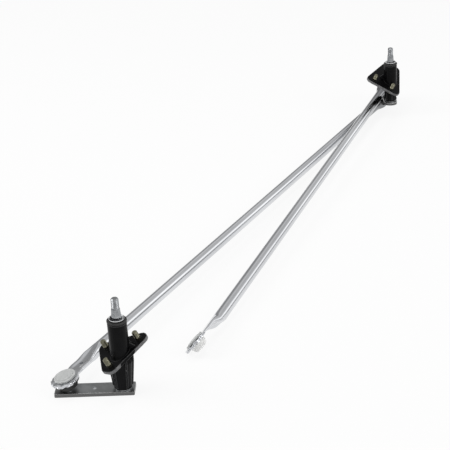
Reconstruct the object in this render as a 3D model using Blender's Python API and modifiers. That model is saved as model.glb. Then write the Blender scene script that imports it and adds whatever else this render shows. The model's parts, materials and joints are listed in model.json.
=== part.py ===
"""Windscreen wiper linkage: two pivot housings, their spindles and cranks, and two tubular rods.

The linkage lies on a table, as it would come out of its box. Z = 0 is the table. The near spindle
stands on the origin, and the far spindle stands on the X axis.
"""
import math

import bmesh
import bpy
from mathutils import Matrix, Vector

MM = 0.001
UP = Vector((0, 0, 1))

# Fits
GAP = 0.3 * MM                    # between neighbouring pieces

# Linkage layout
CRANK_RADIUS = 57 * MM            # spindle to ball stud
LINK_ROD_LENGTH = 935.7 * MM      # ball to ball, in plan
MOTOR_ROD_LENGTH = 821 * MM       # ball to free socket, in plan
NEAR_CRANK_ANGLE = math.radians(113.8)
FAR_CRANK_ANGLE = math.radians(23.6)
MOTOR_ROD_ANGLE = math.radians(184.4)

# Cranks: flat steel strips
CRANK_WIDTH = 20 * MM
CRANK_THICKNESS = 4 * MM
CRANK_SPINDLE_END = 12 * MM       # strip beyond the spindle
CRANK_BALL_END = 13 * MM          # strip beyond the ball stud
GAUGE_HOLE_RADIUS = 2.4 * MM
GAUGE_HOLE_PLACE = 29.5 * MM      # from the spindle

# Ball studs
BALL_RADIUS = 6.5 * MM
BALL_LIFT = 8.8 * MM              # crank face to ball centre
STUD_NECK_RADIUS = 3.2 * MM
STUD_COLLAR_RADIUS = 4.6 * MM
STUD_COLLAR_HEIGHT = 1 * MM
STUD_SHANK_RADIUS = 4 * MM

# Plastic sockets, caps and rubber boots
BALL_BELOW_EYE = 4 * MM           # eye's mid plane to ball centre
SOCKET_RADIUS = 9.5 * MM
SOCKET_NECK_RADIUS = 7.7 * MM
SOCKET_BELOW_BALL = 5 * MM
SOCKET_ROOF = 0.6 * MM
CAP_RADIUS = 11.6 * MM
CAP_RIM_HEIGHT = 1.9 * MM
CAP_HEIGHT = 2.9 * MM
CAP_DOME_RADIUS = 8.6 * MM
BOOT_RADIUS = 13.2 * MM
BOOT_FOOT_RADIUS = 8.8 * MM
BOOT_BELOW_BALL = 6 * MM
BOOT_WALL = 1.4 * MM
BOOT_THROAT_RADIUS = 5 * MM

# Rods: steel tubes with flattened, pierced ends
ROD_RADIUS = 6.85 * MM
TUBE_WALL = 1.2 * MM
EYE_RADIUS = 14 * MM
EYE_HALF = 1.5 * MM               # half the eye's thickness: two walls pressed together
FLAT_HALF_WIDTH = 9.6 * MM
FLAT_SQUARENESS = 6               # 2 is an ellipse; more is squarer
EYE_PROUD = 0.15 * MM             # the eye is pressed a little thicker than the flat
FLAT_START = 9 * MM               # from the eye's centre, inside the eye's ring
FLAT_LENGTH = 36 * MM             # eye centre to the end of the flat
HOLLOW_START = 26 * MM            # eye centre to where the walls part
FLARE_LENGTH = 30 * MM            # flat to full tube
DRAIN_HOLE_PLACE = 30 * MM
DRAIN_HOLE_RADIUS = 1.7 * MM
NEAR_TUBE_RISE = 1.3 * MM         # the link rod's near end is pressed nearly in line with its tube
LINK_EYE_PITCH = math.radians(9)  # near eye nods down towards its tip
LINK_EYE_ROLL = math.radians(11)  # and leans to one side
FREE_EYE_TURN = math.radians(51.4)  # free eye rolls over onto its socket

# Spindles
SPINDLE_RADIUS = 5 * MM
SPINDLE_FOOT_RADIUS = 4.2 * MM
THREAD_RADIUS = 4 * MM
THREAD_PITCH = 1.25 * MM
THREAD_DEPTH = 0.55 * MM
THREAD_TURNS = 8
THREAD_CHAMFER = 1 * MM
KNURL_TOP_RADIUS = 4.35 * MM
KNURL_HEIGHT = 7.5 * MM
SPINDLE_ABOVE_RIM = 24 * MM       # top of the collar to the spindle's tip

# Pivot housings: die castings
TUBE_RADIUS = 10 * MM
BORE_RADIUS = 5.8 * MM
BUSH_SEAT_RADIUS = 6.6 * MM
BUSH_LENGTH = 11 * MM
SEAL_HEIGHT = 2.6 * MM
SEAL_LIP = 0.3 * MM
SEAL_GROOVE = 0.9 * MM
THRUST_WASHER_THICKNESS = 0.8 * MM
FLANGE_THICKNESS = 4 * MM
FLANGE_CORNER = 7 * MM
RIB_COUNT = 6
RIB_THICKNESS = 2.4 * MM
RIB_PROUD = 1.2 * MM
GUSSET_REACH = 8 * MM
GUSSET_HEIGHT = 10 * MM

# Top washer and circlip
WASHER_RADIUS = 8.1 * MM
WASHER_THICKNESS = 1 * MM
WASHER_DISH = 0.9 * MM
CIRCLIP_RADIUS = 6.6 * MM
CIRCLIP_THICKNESS = 1.2 * MM
CIRCLIP_MOUTH = math.radians(70)

# Fixing studs
FIXING_RADIUS = 3 * MM
FIXING_PITCH = 1 * MM
FIXING_DEPTH = 0.4 * MM
FIXING_TURNS = 7
FIXING_PLAIN = 2 * MM
FIXING_HEAD_RADIUS = 4.8 * MM
FIXING_HEAD_HEIGHT = 2.4 * MM
SPOT_FACE = 0.4 * MM              # milled into the flange's underside for each head

# Facets
ROUND = 24
SMALL_ROUND = 12
SECTION_POINTS = 20
FLARE_STEPS = 6
NECK_STEPS = 3
BALL_STEPS = 9
CAVITY_STEPS = 8
CORNER_STEPS = 5
SMOOTH_BELOW = math.radians(35)   # between faces that are shaded as one
WELD_DISTANCE = 0.001 * MM
SCREW_WELD_DISTANCE = 0.01 * MM


# What differs between the two pivot units. Places on a flange are measured from the spindle in plan.
UNITS = {
    "near": {
        "rim": 78.6 * MM,             # crank face to the collar's top
        "foot": 9.4 * MM,             # body radius at its lower end
        "flare": 13.4 * MM,           # body radius under the flange
        "waist": 0 * MM,              # straight part of the lower body
        "crank_corner": 1.5 * MM,
        "flange_height": 40.3 * MM,   # crank face to the flange, on the spindle
        "tilt": math.radians(25),     # flange to spindle
        "downhill": math.radians(145.3),
        "studs": ((15.6 * MM, math.radians(162.8)), (22.8 * MM, math.radians(67)),
                  (21.2 * MM, math.radians(325.9))),
        "corners": ((17.4 * MM, math.radians(160.5)), (17.4 * MM, math.radians(176)),
                    (24.2 * MM, math.radians(70)), (23.2 * MM, math.radians(321))),
        "gusset": math.radians(305),
    },
    "far": {
        "rim": 61.8 * MM,
        "foot": 8.2 * MM,
        "flare": 13 * MM,
        "waist": 14 * MM,
        "crank_corner": 9.5 * MM,
        "flange_height": 31.5 * MM,
        "tilt": math.radians(30),
        "downhill": math.radians(245),
        "studs": ((14.8 * MM, math.radians(203)), (26.1 * MM, math.radians(127.3)),
                  (25.9 * MM, math.radians(20.4))),
        "corners": ((18.8 * MM, math.radians(222.8)), (29.9 * MM, math.radians(125.3)),
                    (30.7 * MM, math.radians(31)), (32.4 * MM, math.radians(3.7))),
        "gusset": math.radians(95),
    },
}

MATERIALS = {
    "zinc": ((0.62, 0.64, 0.66), 0.28, 1.0),
    "steel": ((0.55, 0.56, 0.57), 0.35, 1.0),
    "dark_steel": ((0.17, 0.18, 0.18), 0.45, 1.0),
    "black_casting": ((0.02, 0.02, 0.022), 0.45, 0.0),
    "rubber": ((0.015, 0.015, 0.015), 0.6, 0.0),
    "yellow_zinc": ((0.36, 0.33, 0.2), 0.4, 1.0),
    "bronze": ((0.45, 0.33, 0.17), 0.4, 1.0),
    "grey_plastic": ((0.55, 0.56, 0.56), 0.4, 0.0),
    "white_plastic": ((0.75, 0.75, 0.73), 0.35, 0.0),
}


def clear_scene():
    for item in list(bpy.data.objects):
        bpy.data.objects.remove(item, do_unlink=True)


def make_collection(name):
    collection = bpy.data.collections.new(name)
    bpy.context.scene.collection.children.link(collection)
    return collection


def make_material(name):
    colour, roughness, metallic = MATERIALS[name]
    material = bpy.data.materials.new(name)
    material.use_nodes = True
    shader = material.node_tree.nodes["Principled BSDF"]
    shader.inputs["Base Color"].default_value = (*colour, 1)
    shader.inputs["Roughness"].default_value = roughness
    shader.inputs["Metallic"].default_value = metallic
    material.diffuse_color = (*colour, 1)
    return material


clear_scene()
PARTS = make_collection("wiper_linkage")
CUTTERS = make_collection("cutters")
FINISH = {name: make_material(name) for name in MATERIALS}


def add_part(name, mesh, finish, place=None):
    part = bpy.data.objects.new(name, mesh)
    PARTS.objects.link(part)
    mesh.materials.clear()
    mesh.materials.append(FINISH[finish])
    if place is not None:
        part.matrix_world = place
    return part


def add_cutter(name, mesh, place=None):
    cutter = bpy.data.objects.new(name, mesh)
    CUTTERS.objects.link(cutter)
    cutter.hide_render = True
    cutter.display_type = "WIRE"
    if place is not None:
        cutter.matrix_world = place
    return cutter


def combine(part, tools, operation):
    """Adds or cuts several tools in one step, which is steadier than a step for each."""
    name = f"{part.name}_{operation.lower()}"
    group = bpy.data.collections.new(name)
    CUTTERS.children.link(group)
    for tool in tools:
        CUTTERS.objects.unlink(tool)
        group.objects.link(tool)
    step = part.modifiers.new(name, "BOOLEAN")
    step.operation = operation
    step.solver = "EXACT"
    step.operand_type = "COLLECTION"
    step.collection = group


def round_off(part):
    bpy.context.view_layer.update()
    part.data.shade_smooth()
    part.data.set_sharp_from_angle(angle=SMOOTH_BELOW)
    return part


def place_at(origin, axis=UP, along=Vector((1, 0, 0))):
    """World matrix whose local Z is the axis and whose local X leans towards along."""
    z = axis.normalized()
    x = (along - z * along.dot(z)).normalized()
    y = z.cross(x)
    turn = Matrix((x, y, z)).transposed().to_4x4()
    return Matrix.Translation(origin) @ turn


def flat_direction(angle):
    return Vector((math.cos(angle), math.sin(angle), 0))


def turned_mesh(name, profile, closed):
    """An open profile starts and ends on the axis; a closed one is a ring's section."""
    mesh = bpy.data.meshes.new(name)
    count = len(profile)
    edges = [(i, i + 1) for i in range(count - 1)]
    if closed:
        edges.append((count - 1, 0))
    mesh.from_pydata([(radius, 0, height) for radius, height in profile], edges, [])
    return mesh


def add_screw(item, steps):
    screw = item.modifiers.new("turn", "SCREW")
    screw.steps = steps
    screw.render_steps = steps
    screw.use_merge_vertices = True
    screw.merge_threshold = SCREW_WELD_DISTANCE
    screw.use_smooth_shade = False
    return item


def turned_part(name, profile, finish, place, closed=False, steps=ROUND):
    part = add_part(name, turned_mesh(name, profile, closed), finish, place)
    return add_screw(part, steps)


def turned_cutter(name, profile, place, steps=ROUND, closed=False):
    return add_screw(add_cutter(name, turned_mesh(name, profile, closed), place), steps)


def rod_profile(radius, low, high):
    return [(0, high), (radius, high), (radius, low), (0, low)]


def ring_profile(outer, inner, low, high):
    return [(outer, high), (outer, low), (inner, low), (inner, high)]


def arc(centre, radius, start, end, steps):
    turn = (end - start) / steps
    return [(centre[0] + radius * math.cos(start + turn * i),
             centre[1] + radius * math.sin(start + turn * i)) for i in range(steps + 1)]


def rounded_outline(corners, radius, steps):
    """Outline that runs round a circle of the given radius at each corner, anticlockwise."""
    points = []
    count = len(corners)
    for i, corner in enumerate(corners):
        before = Vector(corner) - Vector(corners[i - 1])
        after = Vector(corners[(i + 1) % count]) - Vector(corner)
        start = math.atan2(before.y, before.x) - math.pi / 2
        end = math.atan2(after.y, after.x) - math.pi / 2
        if end < start:
            end += 2 * math.pi
        points += arc(corner, radius, start, end, steps)
    return points


def plate_mesh(name, outline, thickness):
    """A flat plate, centred on its mid plane, from a filled and extruded curve."""
    curve = bpy.data.curves.new(name, "CURVE")
    curve.dimensions = "2D"
    curve.fill_mode = "BOTH"
    curve.extrude = thickness / 2
    spline = curve.splines.new("POLY")
    spline.points.add(len(outline) - 1)
    for point, (x, y) in zip(spline.points, outline):
        point.co = (x, y, 0, 1)
    spline.use_cyclic_u = True
    holder = bpy.data.objects.new(name + "_outline", curve)
    bpy.context.scene.collection.objects.link(holder)
    bpy.context.view_layer.update()
    mesh = bpy.data.meshes.new_from_object(holder.evaluated_get(bpy.context.evaluated_depsgraph_get()))
    bpy.data.objects.remove(holder, do_unlink=True)
    weld(mesh)
    return mesh


def weld(mesh):
    shape = bmesh.new()
    shape.from_mesh(mesh)
    bmesh.ops.remove_doubles(shape, verts=shape.verts, dist=WELD_DISTANCE)
    bmesh.ops.recalc_face_normals(shape, faces=shape.faces)
    shape.to_mesh(mesh)
    shape.free()


def threaded_profile(radius, depth, pitch, turns, bottom, chamfer):
    """Outer line of a thread, from its chamfered tip down to the given height."""
    top = bottom + pitch * turns + chamfer
    line = [(0, top), (radius - chamfer, top), (radius, top - chamfer)]
    for i in range(turns):
        crest = top - chamfer - pitch * i
        line += [(radius - depth, crest - pitch / 2), (radius, crest - pitch)]
    return line


# Layout of the joints, worked out from the driving lengths. The far spindle is where the link rod
# reaches from the near crank to the far one with both spindles on the X axis.
NEAR_SPINDLE = Vector((0, 0, 0))
NEAR_BALL = flat_direction(NEAR_CRANK_ANGLE) * CRANK_RADIUS
FAR_CRANK_REACH = flat_direction(FAR_CRANK_ANGLE) * CRANK_RADIUS
LINK_RUN_ACROSS = FAR_CRANK_REACH.y - NEAR_BALL.y
LINK_RUN_ALONG = math.sqrt(LINK_ROD_LENGTH ** 2 - LINK_RUN_ACROSS ** 2)
FAR_SPINDLE = Vector((NEAR_BALL.x + LINK_RUN_ALONG - FAR_CRANK_REACH.x, 0, 0))
FAR_BALL = FAR_SPINDLE + FAR_CRANK_REACH
FREE_END = FAR_BALL + flat_direction(MOTOR_ROD_ANGLE) * MOTOR_ROD_LENGTH

CAP_TOP = EYE_HALF + GAP + CAP_HEIGHT                 # above the eye's mid plane
NEAR_CRANK_TOP = CRANK_THICKNESS
FAR_CRANK_BASE = CAP_TOP + BALL_BELOW_EYE + BALL_LIFT  # the lower cap rests on the table
FAR_CRANK_TOP = FAR_CRANK_BASE + CRANK_THICKNESS
TUBE_OFFSET = ROD_RADIUS - EYE_HALF                   # tube axis to the eye's mid plane


def at_height(point, height):
    return Vector((point.x, point.y, height))


# Cranks and ball studs
def make_crank(side, spindle, ball, base):
    along = (ball - spindle).normalized()
    inset = UNITS[side]["crank_corner"]
    low_x = -CRANK_SPINDLE_END + inset
    high_x = CRANK_RADIUS + CRANK_BALL_END - inset
    half = CRANK_WIDTH / 2 - inset
    corners = [(low_x, -half), (high_x, -half), (high_x, half), (low_x, half)]
    outline = rounded_outline(corners, inset, CORNER_STEPS)
    place = place_at(at_height(spindle, base + CRANK_THICKNESS / 2), UP, along)
    crank = add_part(side + "_crank", plate_mesh(side + "_crank", outline, CRANK_THICKNESS),
                     "dark_steel", place)
    holes = ((0, SPINDLE_FOOT_RADIUS + GAP), (GAUGE_HOLE_PLACE, GAUGE_HOLE_RADIUS),
             (CRANK_RADIUS, STUD_SHANK_RADIUS + GAP))
    cutters = []
    for i, (distance, radius) in enumerate(holes):
        profile = rod_profile(radius, -CRANK_THICKNESS, CRANK_THICKNESS)
        cutters.append(turned_cutter(f"{side}_crank_hole_{i}", profile,
                                     place @ Matrix.Translation((distance, 0, 0))))
    combine(crank, cutters, "DIFFERENCE")


def ball_profile_down(lift, neck, sign):
    """Outer line from a ball's pole down to its neck; sign -1 turns it over and reverses it."""
    lowest = math.asin(neck / BALL_RADIUS)
    line = []
    for i in range(BALL_STEPS + 1):
        angle = (math.pi - lowest) * i / BALL_STEPS
        line.append((BALL_RADIUS * math.sin(angle), lift + BALL_RADIUS * math.cos(angle)))
    line[0] = (0, lift + BALL_RADIUS)
    if sign > 0:
        return line
    return [(radius, -height) for radius, height in reversed(line)]


def make_ball_stud(name, ball, base, both_ends):
    """A stud riveted through the crank, with a ball above it and perhaps one below."""
    top = CRANK_THICKNESS
    collar = GAP + STUD_COLLAR_HEIGHT
    upper = [(radius, top + height) for radius, height in
             ball_profile_down(BALL_LIFT, STUD_NECK_RADIUS, 1)]
    upper += [(STUD_NECK_RADIUS, top + collar), (STUD_COLLAR_RADIUS, top + collar),
              (STUD_COLLAR_RADIUS, top + GAP), (STUD_SHANK_RADIUS, top + GAP)]
    if both_ends:
        lower = [(STUD_SHANK_RADIUS, -GAP), (STUD_COLLAR_RADIUS, -GAP),
                 (STUD_COLLAR_RADIUS, -collar), (STUD_NECK_RADIUS, -collar)]
        lower += ball_profile_down(BALL_LIFT, STUD_NECK_RADIUS, -1)
    else:
        lower = [(STUD_SHANK_RADIUS, 0), (0, 0)]
    return round_off(turned_part(name, upper + lower, "steel", place_at(at_height(ball, base))))


# Spindles and what sits on them
def make_spindle(side, spindle, base, rim):
    """Knurled and threaded at the top, riveted into the crank at the bottom."""
    shoulder = CRANK_THICKNESS + GAP
    tip = CRANK_THICKNESS + rim + SPINDLE_ABOVE_RIM
    thread_foot = tip - THREAD_TURNS * THREAD_PITCH - THREAD_CHAMFER
    knurl_top = thread_foot - THREAD_PITCH / 2
    line = threaded_profile(THREAD_RADIUS, THREAD_DEPTH, THREAD_PITCH, THREAD_TURNS,
                            thread_foot, THREAD_CHAMFER)
    line += [(KNURL_TOP_RADIUS, knurl_top), (SPINDLE_RADIUS, knurl_top - KNURL_HEIGHT),
             (SPINDLE_RADIUS, shoulder), (SPINDLE_FOOT_RADIUS, shoulder),
             (SPINDLE_FOOT_RADIUS, 0), (0, 0)]
    place = place_at(at_height(spindle, base))
    return round_off(turned_part(side + "_spindle", line, "steel", place, steps=SMALL_ROUND * 2))


def make_thrust_washer(side, spindle, crank_top):
    low = crank_top + GAP
    ring = ring_profile(UNITS[side]["foot"] - GAP, SPINDLE_RADIUS + GAP, low,
                        low + THRUST_WASHER_THICKNESS)
    return turned_part(side + "_thrust_washer", ring, "steel", place_at(spindle), closed=True)


def make_bushes(side, spindle, foot, rim_seat):
    outer = BUSH_SEAT_RADIUS - GAP
    inner = SPINDLE_RADIUS + GAP
    spans = {"lower": foot + GAP, "upper": rim_seat - GAP - BUSH_LENGTH}
    for name, low in spans.items():
        ring = ring_profile(outer, inner, low, low + BUSH_LENGTH)
        turned_part(f"{side}_{name}_bush", ring, "bronze", place_at(spindle), closed=True)


def make_top_stack(side, spindle, tube_top):
    """Rubber seal on the housing's rim, dished washer on it, and a circlip that holds both."""
    seat = tube_top + GAP
    skirt = seat + SEAL_GROOVE
    top = seat + SEAL_HEIGHT
    outer = TUBE_RADIUS + SEAL_LIP
    inner = SPINDLE_RADIUS + GAP
    seal = [(outer - SEAL_LIP, top), (outer, top - SEAL_LIP), (outer, skirt),
            (outer - SEAL_GROOVE, skirt), (outer - SEAL_GROOVE, seat), (inner, seat), (inner, top)]
    turned_part(side + "_seal_ring", seal, "rubber", place_at(spindle), closed=True)
    low = top + GAP
    edge = low + WASHER_DISH
    bore = inner + GAP
    washer = [(WASHER_RADIUS, edge + WASHER_THICKNESS), (WASHER_RADIUS, edge),
              (bore + WASHER_THICKNESS, low), (bore, low), (bore, low + WASHER_THICKNESS),
              (bore + WASHER_THICKNESS, low + WASHER_THICKNESS)]
    turned_part(side + "_washer", washer, "zinc", place_at(spindle), closed=True)
    clip_low = low + WASHER_THICKNESS + GAP
    clip = ring_profile(CIRCLIP_RADIUS, inner, clip_low, clip_low + CIRCLIP_THICKNESS)
    circlip = turned_part(side + "_circlip", clip, "steel", place_at(spindle), closed=True)
    reach = CIRCLIP_RADIUS * 2
    mouth = [(0, 0)] + arc((0, 0), reach, -CIRCLIP_MOUTH / 2, CIRCLIP_MOUTH / 2, 2)
    wedge = plate_mesh(side + "_circlip_mouth", mouth, CIRCLIP_THICKNESS * 3)
    centre = at_height(spindle, clip_low + CIRCLIP_THICKNESS / 2)
    away = flat_direction(UNITS[side]["gusset"])
    cutter = add_cutter(side + "_circlip_mouth", wedge, place_at(centre, UP, away))
    combine(circlip, [cutter], "DIFFERENCE")


# Pivot housings
def flange_place(side, spindle, crank_top):
    unit = UNITS[side]
    downhill = flat_direction(unit["downhill"])
    normal = UP * math.cos(unit["tilt"]) + downhill * math.sin(unit["tilt"])
    return place_at(at_height(spindle, crank_top + unit["flange_height"]), normal, downhill)


def places_on_flange(plane, plan_places):
    """Turns places measured in plan into places on the flange's upper face."""
    normal = plane.to_3x3() @ UP
    places = []
    for radius, angle in plan_places:
        plan = flat_direction(angle) * radius
        rise = -plan.dot(normal) / normal.z
        local = plane.inverted() @ (plane.translation + plan + UP * rise)
        places.append((local.x, local.y))
    return places


def anticlockwise(points):
    return sorted(points, key=lambda point: math.atan2(point[1], point[0]))


def make_fin(name, spindle, angle, outline, thickness):
    """An upright fin whose outline is given by distances from the spindle and heights."""
    fin = plate_mesh(name, outline, thickness)
    upright = Matrix.Rotation(angle, 4, "Z") @ Matrix.Rotation(math.pi / 2, 4, "X")
    return add_cutter(name, fin, Matrix.Translation(spindle) @ upright)


def make_housing(side, spindle, crank_top):
    unit = UNITS[side]
    foot = crank_top + GAP + THRUST_WASHER_THICKNESS + GAP
    tube_top = crank_top + unit["rim"] - SEAL_HEIGHT - GAP
    plane = flange_place(side, spindle, crank_top)
    studs = places_on_flange(plane, unit["studs"])
    slope = math.tan(unit["tilt"])
    thickness = FLANGE_THICKNESS / math.cos(unit["tilt"])
    foot_radius = unit["foot"]
    on_axis = plane.translation.z
    shoulder = on_axis - TUBE_RADIUS * slope
    waist = foot + unit["waist"]
    core = [(0, tube_top), (TUBE_RADIUS, tube_top), (TUBE_RADIUS, shoulder),
            (unit["flare"] - RIB_PROUD, shoulder - thickness), (foot_radius, waist),
            (foot_radius, foot), (0, foot)]
    if unit["waist"] == 0:
        core.remove((foot_radius, waist))
    housing = turned_part(side + "_housing", core, "black_casting", place_at(spindle))

    corners = anticlockwise(places_on_flange(plane, unit["corners"]))
    plate = plate_mesh(side + "_flange", rounded_outline(corners, FLANGE_CORNER, CORNER_STEPS), FLANGE_THICKNESS)
    drop = Matrix.Translation((0, 0, -FLANGE_THICKNESS / 2))
    additions = [add_cutter(side + "_flange", plate, plane @ drop)]

    middle = on_axis - thickness / 2
    for i in range(RIB_COUNT):
        angle = unit["downhill"] + 2 * math.pi * (i + 0.5) / RIB_COUNT
        fall = slope * math.cos(angle - unit["downhill"])
        rib = [(0, foot + RIB_PROUD), (foot_radius, foot + RIB_PROUD),
               (foot_radius + RIB_PROUD, foot + RIB_PROUD * 2), (foot_radius + RIB_PROUD, waist),
               (unit["flare"], shoulder - thickness),
               (unit["flare"], middle - unit["flare"] * fall), (0, middle)]
        if unit["waist"] == 0:
            rib.remove((foot_radius + RIB_PROUD, waist))
        additions.append(make_fin(f"{side}_rib_{i}", spindle, angle, rib, RIB_THICKNESS))

    reach = TUBE_RADIUS + GUSSET_REACH
    fall = slope * math.cos(unit["gusset"] - unit["downhill"])
    gusset = [(0, middle), (reach, middle - reach * fall),
              (TUBE_RADIUS, middle - TUBE_RADIUS * fall + GUSSET_HEIGHT),
              (0, middle - TUBE_RADIUS * fall + GUSSET_HEIGHT)]
    additions.append(make_fin(side + "_gusset", spindle, unit["gusset"], gusset, RIB_THICKNESS * 2))
    combine(housing, additions, "UNION")

    lower_seat = foot + GAP + BUSH_LENGTH + GAP
    upper_seat = tube_top - GAP - BUSH_LENGTH - GAP
    beyond = BUSH_LENGTH
    bore = [(0, tube_top + beyond), (BUSH_SEAT_RADIUS, tube_top + beyond),
            (BUSH_SEAT_RADIUS, upper_seat), (BORE_RADIUS, upper_seat), (BORE_RADIUS, lower_seat),
            (BUSH_SEAT_RADIUS, lower_seat), (BUSH_SEAT_RADIUS, foot - beyond), (0, foot - beyond)]
    cuts = [turned_cutter(side + "_bore", bore, place_at(spindle))]

    for i, (x, y) in enumerate(studs):
        hole, room = FIXING_RADIUS + GAP, FIXING_HEAD_RADIUS + GAP
        seat, beyond = SPOT_FACE - FLANGE_THICKNESS, FIXING_HEAD_HEIGHT * 4
        step = [(0, FLANGE_THICKNESS), (hole, FLANGE_THICKNESS), (hole, seat), (room, seat),
                (room, -beyond), (0, -beyond)]
        place = plane @ Matrix.Translation((x, y, 0))
        cuts.append(turned_cutter(f"{side}_stud_hole_{i}", step, place, SMALL_ROUND))
        make_fixing_stud(f"{side}_fixing_stud_{i + 1}", place)
    combine(housing, cuts, "DIFFERENCE")
    make_bushes(side, spindle, foot, tube_top)
    make_top_stack(side, spindle, tube_top)


def make_fixing_stud(name, place):
    """Pressed up through the flange, with its head below and its thread standing above."""
    line = threaded_profile(FIXING_RADIUS, FIXING_DEPTH, FIXING_PITCH, FIXING_TURNS,
                            FIXING_PLAIN, FIXING_DEPTH)
    head_top = SPOT_FACE - FLANGE_THICKNESS - GAP
    head_low = head_top - FIXING_HEAD_HEIGHT
    line += [(FIXING_RADIUS, head_top), (FIXING_HEAD_RADIUS, head_top),
             (FIXING_HEAD_RADIUS, head_low), (0, head_low)]
    return turned_part(name, line, "yellow_zinc", place, steps=SMALL_ROUND)


# Ball joints. A joint's own Z points from its ball through the eye to the cap; 0 is the eye.
def eye_place(ball_centre, cap_side, tube_direction):
    return place_at(ball_centre + cap_side.normalized() * BALL_BELOW_EYE, cap_side, tube_direction)


def make_socket(name, place):
    """Moulded cup round the ball, with a neck that fills the eye."""
    cavity = BALL_RADIUS + GAP
    roof = cavity - BALL_BELOW_EYE + SOCKET_ROOF
    mouth = -BALL_BELOW_EYE - SOCKET_BELOW_BALL
    shelf = -EYE_HALF - GAP
    lowest = -math.asin(SOCKET_BELOW_BALL / cavity)
    inside = []
    for i in range(CAVITY_STEPS + 1):
        angle = lowest + (math.pi / 2 - lowest) * i / CAVITY_STEPS
        inside.append((cavity * math.cos(angle), -BALL_BELOW_EYE + cavity * math.sin(angle)))
    inside[-1] = (0, -BALL_BELOW_EYE + cavity)
    line = [(0, roof), (SOCKET_NECK_RADIUS - SOCKET_ROOF, roof),
            (SOCKET_NECK_RADIUS, roof - SOCKET_ROOF), (SOCKET_NECK_RADIUS, shelf),
            (SOCKET_RADIUS, shelf), (SOCKET_RADIUS, mouth)] + inside
    return round_off(turned_part(name, line, "white_plastic", place))


def make_cap(name, place):
    """Round cover clipped over the socket's neck, with a raised rim and a low dome."""
    low = EYE_HALF + GAP
    rim = low + CAP_RIM_HEIGHT
    roof = BALL_RADIUS + GAP - BALL_BELOW_EYE + SOCKET_ROOF + GAP
    recess = SOCKET_NECK_RADIUS + GAP
    edge = GAP * 2
    line = [(0, CAP_TOP), (CAP_DOME_RADIUS / 2, CAP_TOP - GAP / 2),
            (CAP_DOME_RADIUS, CAP_TOP - GAP * 2), (CAP_DOME_RADIUS + edge, rim),
            (CAP_RADIUS - edge, rim), (CAP_RADIUS, rim - edge), (CAP_RADIUS, low),
            (recess, low), (recess, roof), (0, roof)]
    return round_off(turned_part(name, line, "grey_plastic", place))


def make_boot(name, place):
    """Rubber boot round the socket, drawn in round the stud's neck."""
    top = -EYE_HALF - GAP
    foot = -BALL_BELOW_EYE - BOOT_BELOW_BALL
    inner = SOCKET_RADIUS + GAP
    socket_end = -BALL_BELOW_EYE - SOCKET_BELOW_BALL - GAP
    bulge = top - (BOOT_RADIUS - inner) / 2
    line = [(BOOT_RADIUS - BOOT_WALL, top), (BOOT_RADIUS, bulge), (BOOT_RADIUS, bulge - BOOT_WALL),
            (BOOT_FOOT_RADIUS, foot), (BOOT_THROAT_RADIUS, foot), (BOOT_THROAT_RADIUS, socket_end),
            (inner, socket_end), (inner, top)]
    return turned_part(name, line, "rubber", place, closed=True)


# Rods. Each is one pressed tube, kept here as a straight tube and two ends.
def section_points(section, wall):
    """Points round one cross-section: flat and wide on an eye's side, round on the tube's."""
    centre, run, lean, half_width, half_height, squareness = section
    across = run.cross(lean).normalized()
    points = []
    for i in range(SECTION_POINTS):
        angle = 2 * math.pi * (i + 0.5) / SECTION_POINTS
        c, s = math.cos(angle), math.sin(angle)
        x = math.copysign(abs(c) ** (2 / squareness), c) * (half_width - wall)
        y = math.copysign(abs(s) ** (2 / squareness), s) * (half_height - wall)
        points.append(centre + across * x + lean * y)
    return points


def loft_mesh(name, rings):
    """Skin over rings of points, closed by a face at each end."""
    shape = bmesh.new()
    rows = [[shape.verts.new(point) for point in ring] for ring in rings]
    count = len(rows[0])
    for lower, upper in zip(rows, rows[1:]):
        for i in range(count):
            j = (i + 1) % count
            shape.faces.new((lower[i], lower[j], upper[j], upper[i]))
    shape.faces.new(list(reversed(rows[0])))
    shape.faces.new(rows[-1])
    bmesh.ops.recalc_face_normals(shape, faces=shape.faces)
    bmesh.ops.triangulate(shape, faces=shape.faces)
    mesh = bpy.data.meshes.new(name)
    shape.to_mesh(mesh)
    shape.free()
    return mesh


def smooth_step(value):
    value = min(max(value, 0), 1)
    return value * value * (3 - 2 * value)


def end_section(eye, tube_point, tube_direction, distance):
    """The cross-section at this distance from the eye's centre."""
    bend = smooth_step((distance - FLAT_START) / (HOLLOW_START - FLAT_START))
    blend = smooth_step((distance - FLAT_LENGTH) / FLARE_LENGTH)
    normal = (eye.to_3x3() @ UP).normalized()
    flat_run = (tube_direction - normal * tube_direction.dot(normal)).normalized()
    square = (normal - tube_direction * normal.dot(tube_direction)).normalized()
    run = flat_run.lerp(tube_direction, bend).normalized()
    on_flat = eye.translation + flat_run.lerp(tube_direction, bend) * distance
    on_tube = tube_point + tube_direction * distance
    lean = normal.lerp(square, bend)
    lean = (lean - run * lean.dot(run)).normalized()
    flat_half = EYE_HALF - EYE_PROUD
    half_width = FLAT_HALF_WIDTH + (ROD_RADIUS - FLAT_HALF_WIDTH) * blend
    half_height = flat_half + (ROD_RADIUS - flat_half) * blend
    squareness = FLAT_SQUARENESS + (2 - FLAT_SQUARENESS) * blend
    return on_flat.lerp(on_tube, blend), run, lean, half_width, half_height, squareness


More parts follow.
